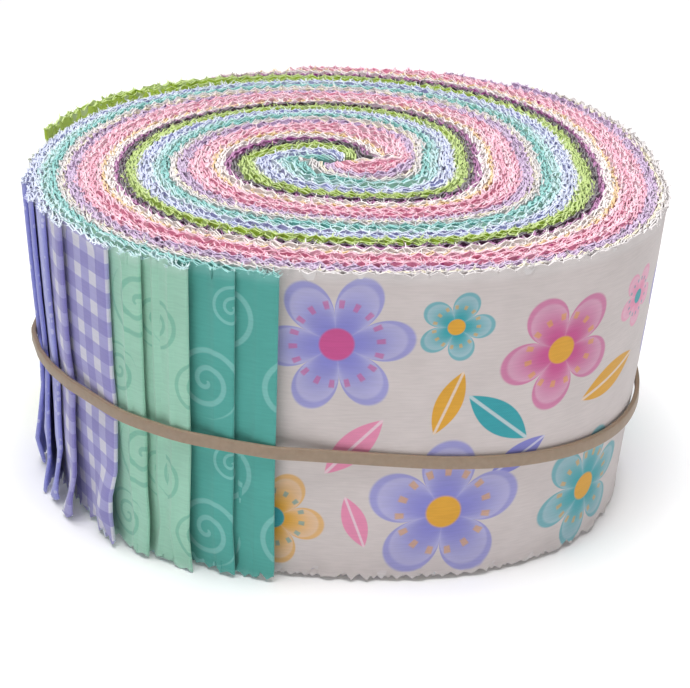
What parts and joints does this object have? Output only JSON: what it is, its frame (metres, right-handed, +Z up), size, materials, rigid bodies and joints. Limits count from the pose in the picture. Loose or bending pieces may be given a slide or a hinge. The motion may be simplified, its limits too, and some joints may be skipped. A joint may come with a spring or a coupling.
{
  "type": "roll of pre-cut quilting strips",
  "caption": "Folded quilting cotton strips with pinked edges, stacked, wound into a flat-ended roll and held by an elastic band.",
  "frame": {"origin": "middle of the underside of the roll, on the surface it stands on", "axes": "+Z up along the axis of the roll; the folded ends of the lavender to teal strips show between -X and -Y"},
  "size_m": [0.1274, 0.1284, 0.0635],
  "materials": {
    "mixed_cotton": "woven cotton in many colours, seen on its pinked edges",
    "printed_cotton": null,
    "lilac_cotton": "plain woven cotton, matte",
    "pink_cotton": "plain woven cotton, matte",
    "cream_cotton": "plain woven cotton, matte",
    "plum_cotton": "plain woven cotton, matte",
    "lime_cotton": "plain woven cotton, matte",
    "lavender_cotton": "plain woven cotton, matte",
    "gingham_cotton": "woven check, matte",
    "mint_cotton": "tone on tone swirls, matte",
    "teal_cotton": "tone on tone swirls, matte",
    "elastic": "tan rubber, slightly translucent"
  },
  "bodies": {
    "root": {"coiled_stack": "mixed_cotton", "print_strip": "printed_cotton", "lilac_strip": "lilac_cotton", "pink_strip_outer": "pink_cotton", "pink_strip_inner": "pink_cotton", "cream_strip": "cream_cotton", "plum_strip": "plum_cotton", "lime_strip": "lime_cotton", "lavender_strip": "lavender_cotton", "gingham_strip": "gingham_cotton", "mint_strip_outer": "mint_cotton", "mint_strip_inner": "mint_cotton", "teal_strip_outer": "teal_cotton", "teal_strip_inner": "teal_cotton", "elastic_band": "elastic"}
  },
  "joints": []
}
